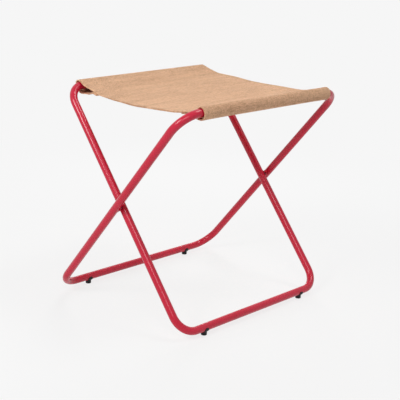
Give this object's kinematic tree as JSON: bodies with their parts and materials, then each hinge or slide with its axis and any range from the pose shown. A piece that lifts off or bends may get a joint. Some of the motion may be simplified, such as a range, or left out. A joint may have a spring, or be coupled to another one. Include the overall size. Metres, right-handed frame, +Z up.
{
  "type": "folding stool",
  "caption": "Folding stool: crossed loops of bent steel tube on blind pivots carry a woven cloth sling seat.",
  "frame": {"origin": "on the floor, under the middle of the stool", "axes": "+X to the right along the bars, -Y to the front, +Z up; the pivot line runs along X"},
  "size_m": [0.4736, 0.377, 0.4548],
  "materials": {
    "red_coat": "satin red powder coat on steel tube",
    "bare_steel": "turned steel",
    "black_plastic": "moulded black plastic",
    "woven_cloth": "heavy plain-woven cloth in natural tan"
  },
  "bodies": {
    "outer": {"outer_frame": "red_coat", "pivot_pin_left": "bare_steel", "pivot_pin_right": "bare_steel", "pivot_boss_left": "red_coat", "pivot_boss_right": "red_coat", "foot_back_left": "black_plastic", "foot_back_right": "black_plastic"},
    "inner": {"inner_frame": "red_coat", "pivot_bush_left": "black_plastic", "pivot_bush_right": "black_plastic", "foot_front_left": "black_plastic", "foot_front_right": "black_plastic"},
    "cloth_front": {"seat_front": "woven_cloth", "seat_middle": "woven_cloth"},
    "cloth_back": {"seat_back": "woven_cloth"}
  },
  "joints": [
    {"name": "fold", "type": "hinge", "parent": "outer", "child": "inner", "pos_m": [0, 0, 0.22874], "axis": [1, 0, 0], "range_deg": [0, 72], "deforming": ["seat_middle"]},
    {"name": "front_sleeve_turn", "type": "hinge", "parent": "outer", "child": "cloth_front", "pos_m": [0, -0.17619, 0.44248], "axis": [1, 0, 0], "range_deg": [-45.62, 0]},
    {"name": "back_sleeve_turn", "type": "hinge", "parent": "inner", "child": "cloth_back", "pos_m": [0, 0.17619, 0.44248], "axis": [1, 0, 0], "range_deg": [0, 45.62]}
  ],
  "couplings": [
    {"joint": "front_sleeve_turn", "follows": "fold", "ratio": -0.6336},
    {"joint": "back_sleeve_turn", "follows": "fold", "ratio": 0.6336}
  ]
}
